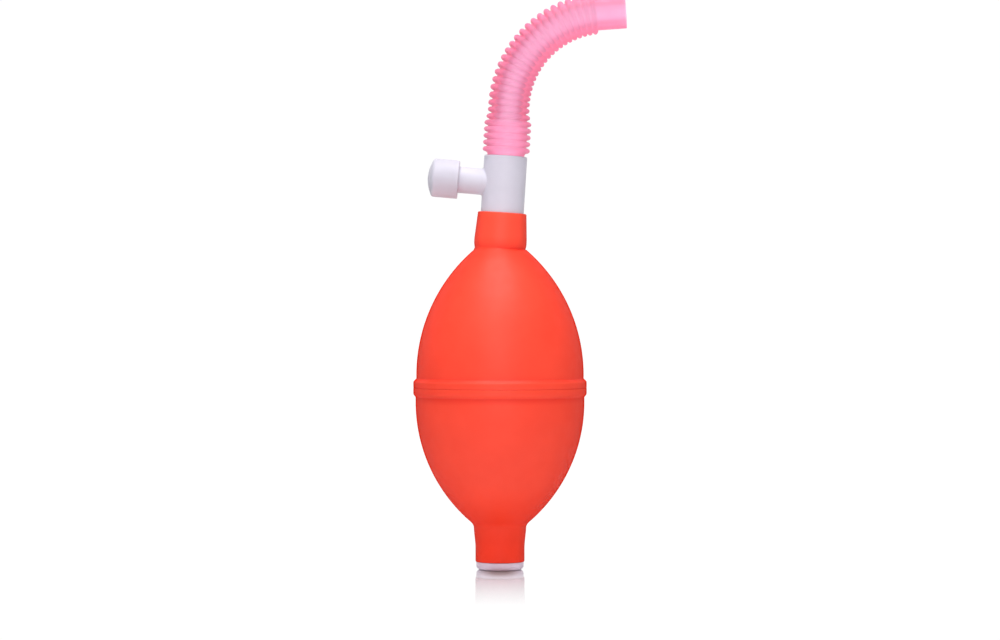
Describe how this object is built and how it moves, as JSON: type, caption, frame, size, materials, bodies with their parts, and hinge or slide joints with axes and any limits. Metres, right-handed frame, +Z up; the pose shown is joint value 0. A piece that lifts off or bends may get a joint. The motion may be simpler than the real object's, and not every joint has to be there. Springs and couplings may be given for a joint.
{
  "type": "hand squeeze bulb pump",
  "caption": "Rubber squeeze bulb pump with check valves, a push-button air release on a T-shaped valve body, and a flexible corrugated hose.",
  "frame": {"origin": "centre of the base plug's flat underside, on the bulb's axis", "axes": "+Z up the bulb's axis, -X towards the release button, +X the way the hose bends"},
  "size_m": [0.0738, 0.06, 0.1994],
  "materials": {
    "bulb_rubber": "soft matte orange-red rubber",
    "white_plastic": "satin moulded white plastic",
    "valve_silicone": "milky silicone",
    "spring_steel": "drawn stainless steel",
    "hose_vinyl": "translucent pink vinyl"
  },
  "bodies": {
    "pump_body": {"bulb_lower_half": "bulb_rubber", "bulb_upper_half": "bulb_rubber", "exhaust_plug": "white_plastic", "exhaust_cage": "white_plastic", "exhaust_seat": "white_plastic", "valve_body": "white_plastic", "intake_cage": "white_plastic", "intake_seat": "white_plastic", "release_spring": "spring_steel", "hose_lower_run": "hose_vinyl"},
    "left_wall": {"left_squeeze_wall": "bulb_rubber"},
    "right_wall": {"right_squeeze_wall": "bulb_rubber"},
    "exhaust_flap": {"exhaust_disc": "valve_silicone"},
    "intake_flap": {"intake_disc": "valve_silicone"},
    "release_valve": {"release_button": "white_plastic", "release_stem": "spring_steel", "release_seal": "valve_silicone", "seal_washer": "spring_steel"},
    "hose_middle": {"hose_middle_run": "hose_vinyl"},
    "hose_upper": {"hose_upper_run": "hose_vinyl"}
  },
  "joints": [
    {"name": "bulb_squeeze", "type": "slide", "parent": "pump_body", "child": "left_wall", "axis": [1, 0, 0], "range_m": [0, 0.014], "stiffness_N_per_m": 500},
    {"name": "bulb_squeeze_right", "type": "slide", "parent": "left_wall", "child": "right_wall", "axis": [-1, 0, 0], "range_m": [0, 0.028]},
    {"name": "exhaust_lift", "type": "slide", "parent": "pump_body", "child": "exhaust_flap", "axis": [0, 0, -1], "range_m": [0, 0.0009]},
    {"name": "intake_lift", "type": "slide", "parent": "pump_body", "child": "intake_flap", "axis": [-0.0628, 0, -0.998], "range_m": [0, 0.0009], "stiffness_N_per_m": 15, "springref_m": -0.0002},
    {"name": "release_press", "type": "slide", "parent": "pump_body", "child": "release_valve", "axis": [0.9962, 0, -0.0872], "range_m": [0, 0.003], "stiffness_N_per_m": 900, "springref_m": -0.001, "deforming": ["release_spring"]},
    {"name": "hose_bend_lower", "type": "hinge", "parent": "pump_body", "child": "hose_middle", "pos_m": [0.00433, 0, 0.16799], "axis": [0, 1, 0], "range_deg": [-25, 25], "stiffness_Nm_per_rad": 0.05},
    {"name": "hose_bend_upper", "type": "hinge", "parent": "hose_middle", "child": "hose_upper", "pos_m": [0.01551, 0, 0.18502], "axis": [0, 1, 0], "range_deg": [-25, 25], "stiffness_Nm_per_rad": 0.05}
  ],
  "couplings": [
    {"joint": "bulb_squeeze_right", "follows": "bulb_squeeze", "ratio": 2},
    {"joint": "exhaust_lift", "follows": "bulb_squeeze", "ratio": 0.064}
  ]
}
